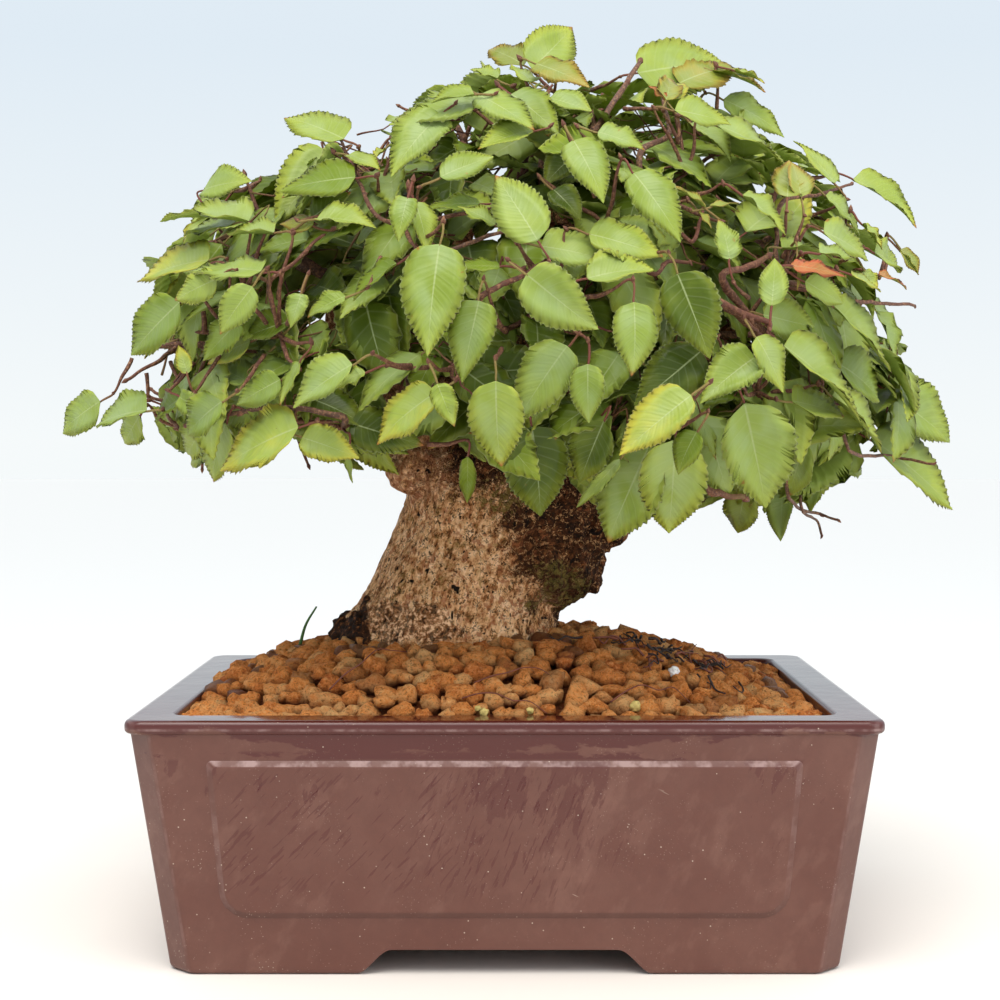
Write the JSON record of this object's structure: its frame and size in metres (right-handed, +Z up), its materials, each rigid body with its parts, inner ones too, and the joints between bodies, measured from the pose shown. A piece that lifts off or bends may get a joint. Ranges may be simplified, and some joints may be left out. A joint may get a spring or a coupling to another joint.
{
  "type": "potted bonsai tree",
  "caption": "Small broad-leaved bonsai with a thick leaning trunk and a dense domed leafy crown, in a low rectangular footed stoneware pot filled with clay granules.",
  "frame": {"origin": "on the surface it stands on, under the middle of the pot and of the crown", "axes": "+X along the pot's long side, to the viewer's right, +Y to the back, +Z up"},
  "size_m": [0.242, 0.1939, 0.2387],
  "materials": {
    "stoneware": "unglazed satin, purple-brown, damp in places",
    "clay_granules": "matte granules",
    "bark": "rough bark",
    "leaf": "satin living leaf",
    "net": "matte"
  },
  "bodies": {
    "root": {"pot": "stoneware", "screen_left": "net", "screen_right": "net", "soil": "clay_granules", "tree_wood": "bark", "leafy_spray_01": "leaf", "leafy_spray_02": "leaf", "leafy_spray_03": "leaf", "leafy_spray_04": "leaf", "leafy_spray_05": "leaf", "leafy_spray_06": "leaf", "leafy_spray_07": "leaf", "leafy_spray_08": "leaf", "leafy_spray_09": "leaf", "leafy_spray_10": "leaf", "leafy_spray_11": "leaf", "leafy_spray_12": "leaf", "leafy_spray_13": "leaf", "leafy_spray_14": "leaf", "leafy_spray_15": "leaf", "leafy_spray_16": "leaf", "leafy_spray_17": "leaf", "leafy_spray_18": "leaf", "leafy_spray_19": "leaf", "leafy_spray_20": "leaf", "leafy_spray_21": "leaf", "leafy_spray_22": "leaf", "leafy_spray_23": "leaf", "leafy_spray_24": "leaf", "leafy_spray_25": "leaf", "leafy_spray_26": "leaf", "leafy_spray_27": "leaf", "leafy_spray_28": "leaf", "leafy_spray_29": "leaf", "leafy_spray_30": "leaf", "leafy_spray_31": "leaf", "leafy_spray_32": "leaf", "leafy_spray_33": "leaf", "leafy_spray_34": "leaf"}
  },
  "joints": []
}
